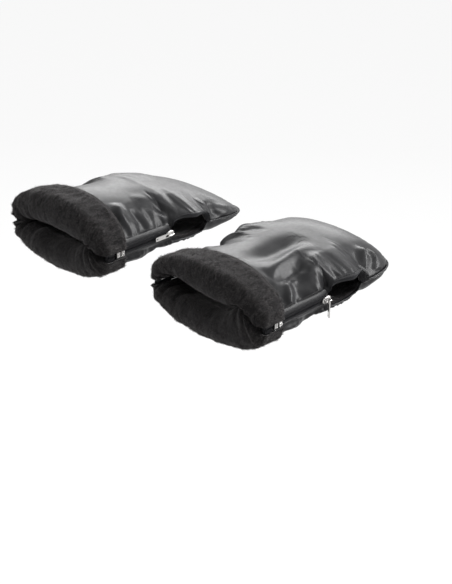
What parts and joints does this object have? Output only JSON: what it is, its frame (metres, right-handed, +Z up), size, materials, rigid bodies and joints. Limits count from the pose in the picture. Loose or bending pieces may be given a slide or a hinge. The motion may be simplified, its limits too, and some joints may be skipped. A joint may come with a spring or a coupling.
{
  "type": "stroller hand muff",
  "caption": "Padded leatherette hand muffs for a stroller handlebar, with turned-out plush cuffs, side openings for the bar and side zips that open the underside.",
  "frame": {"origin": "on the axis of the bar that the muffs hang on, midway between the two muffs", "axes": "+X along the bar to the user's right, +Y from the cuffs to the closed ends, +Z up"},
  "size_m": [0.3861, 0.2192, 0.082],
  "materials": {
    "leatherette": "soft black leatherette with a satin sheen",
    "plush": "short-pile charcoal plush",
    "wadding": "white polyester wadding, sealed inside",
    "zip_tape": "black woven zip tape",
    "zip_coil": "black plastic zip teeth",
    "binding": "black edge binding",
    "nickel": "nickel-plated zip metal"
  },
  "bodies": {
    "left_muff": {"left_top_shell": "leatherette", "left_pocket_shell": "leatherette", "left_top_wadding": "wadding", "left_pocket_wadding": "wadding", "left_top_lining": "plush", "left_pocket_lining": "plush", "left_nose_welt": "leatherette", "left_top_zip_tape_outer": "zip_tape", "left_top_zip_teeth_outer": "zip_coil", "left_passage_binding_outer": "binding", "left_zip_box_outer": "nickel", "left_top_zip_tape_inner": "zip_tape", "left_top_zip_teeth_inner": "zip_coil", "left_passage_binding_inner": "binding", "left_zip_box_inner": "nickel"},
    "left_flap": {"left_flap_shell": "leatherette", "left_flap_wadding": "wadding", "left_flap_lining": "plush", "left_flap_zip_tape_outer": "zip_tape", "left_flap_zip_teeth_outer": "zip_coil", "left_zip_pin_outer": "nickel", "left_flap_zip_tape_inner": "zip_tape", "left_flap_zip_teeth_inner": "zip_coil", "left_zip_pin_inner": "nickel"},
    "left_slider_outer": {"left_zip_slider_outer": "nickel"},
    "left_pull_outer": {"left_zip_pull_outer": "nickel"},
    "left_slider_inner": {"left_zip_slider_inner": "nickel"},
    "left_pull_inner": {"left_zip_pull_inner": "nickel"},
    "right_muff": {"right_top_shell": "leatherette", "right_pocket_shell": "leatherette", "right_top_wadding": "wadding", "right_pocket_wadding": "wadding", "right_top_lining": "plush", "right_pocket_lining": "plush", "right_nose_welt": "leatherette", "right_top_zip_tape_outer": "zip_tape", "right_top_zip_teeth_outer": "zip_coil", "right_passage_binding_outer": "binding", "right_zip_box_outer": "nickel", "right_top_zip_tape_inner": "zip_tape", "right_top_zip_teeth_inner": "zip_coil", "right_passage_binding_inner": "binding", "right_zip_box_inner": "nickel"},
    "right_flap": {"right_flap_shell": "leatherette", "right_flap_wadding": "wadding", "right_flap_lining": "plush", "right_flap_zip_tape_outer": "zip_tape", "right_flap_zip_teeth_outer": "zip_coil", "right_zip_pin_outer": "nickel", "right_flap_zip_tape_inner": "zip_tape", "right_flap_zip_teeth_inner": "zip_coil", "right_zip_pin_inner": "nickel"},
    "right_slider_outer": {"right_zip_slider_outer": "nickel"},
    "right_pull_outer": {"right_zip_pull_outer": "nickel"},
    "right_slider_inner": {"right_zip_slider_inner": "nickel"},
    "right_pull_inner": {"right_zip_pull_inner": "nickel"}
  },
  "joints": [
    {"name": "left_flap_hinge", "type": "hinge", "parent": "left_muff", "child": "left_flap", "pos_m": [-0.1125, 0.031, -0.0335], "axis": [1, 0, 0], "range_deg": [0, 65]},
    {"name": "left_slider_outer_slide", "type": "slide", "parent": "left_muff", "child": "left_slider_outer", "axis": [0, -1, 0], "range_m": [0, 0.044]},
    {"name": "left_pull_outer_swing", "type": "hinge", "parent": "left_slider_outer", "child": "left_pull_outer", "pos_m": [-0.1893, -0.02875, -0.005], "axis": [0, 0, -1], "range_deg": [0, 90]},
    {"name": "left_slider_inner_slide", "type": "slide", "parent": "left_muff", "child": "left_slider_inner", "axis": [0, -1, 0], "range_m": [0, 0.044]},
    {"name": "left_pull_inner_swing", "type": "hinge", "parent": "left_slider_inner", "child": "left_pull_inner", "pos_m": [-0.0357, -0.02875, -0.005], "axis": [0, 0, 1], "range_deg": [0, 90]},
    {"name": "right_flap_hinge", "type": "hinge", "parent": "right_muff", "child": "right_flap", "pos_m": [0.1125, 0.031, -0.0335], "axis": [1, 0, 0], "range_deg": [0, 65]},
    {"name": "right_slider_outer_slide", "type": "slide", "parent": "right_muff", "child": "right_slider_outer", "axis": [0, -1, 0], "range_m": [0, 0.044]},
    {"name": "right_pull_outer_swing", "type": "hinge", "parent": "right_slider_outer", "child": "right_pull_outer", "pos_m": [0.1916, -0.026, -0.005], "axis": [0, -1, 0], "range_deg": [0, 150]},
    {"name": "right_slider_inner_slide", "type": "slide", "parent": "right_muff", "child": "right_slider_inner", "axis": [0, -1, 0], "range_m": [0, 0.044]},
    {"name": "right_pull_inner_swing", "type": "hinge", "parent": "right_slider_inner", "child": "right_pull_inner", "pos_m": [0.0334, -0.026, -0.005], "axis": [0, 1, 0], "range_deg": [0, 150]},
    {"name": "right_muff_slide", "type": "slide", "parent": "left_muff", "child": "right_muff", "axis": [1, 0, 0], "range_m": [-0.04, 0.05]}
  ]
}
